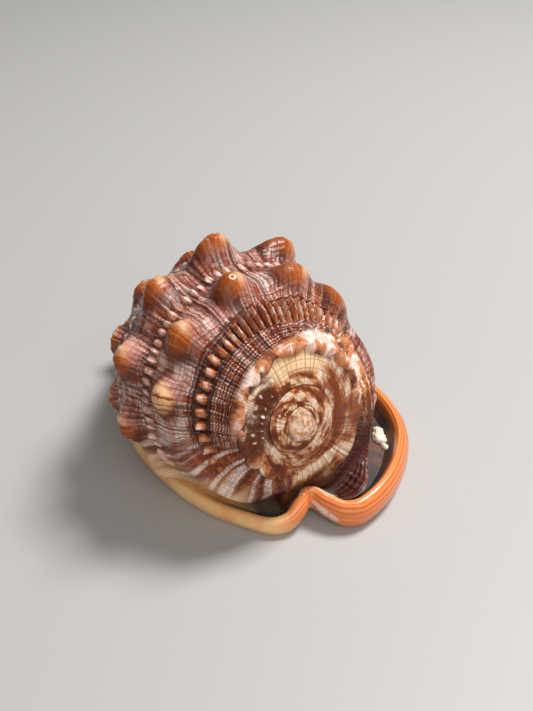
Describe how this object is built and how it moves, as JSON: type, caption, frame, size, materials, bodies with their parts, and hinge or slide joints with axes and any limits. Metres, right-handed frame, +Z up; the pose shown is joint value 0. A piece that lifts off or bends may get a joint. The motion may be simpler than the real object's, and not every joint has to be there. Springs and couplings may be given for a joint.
{
  "type": "bullmouth helmet shell",
  "caption": "Large knobbed sea snail shell lying on its flat mouth side, with a low spire, rolled orange lip, cream shield and a long narrow toothed mouth.",
  "frame": {"origin": "middle of the shell's box, at the level it rests on", "axes": "+Z up, +Y from the spire to the canal along the coil axis seen from above, +X towards the lip"},
  "size_m": [0.1096, 0.1372, 0.0855],
  "materials": {
    "shell": "glossy mahogany, mauve and cream plaid, with a polished orange lip and cream shield"
  },
  "bodies": {
    "root": {"shell": "shell"}
  },
  "joints": []
}
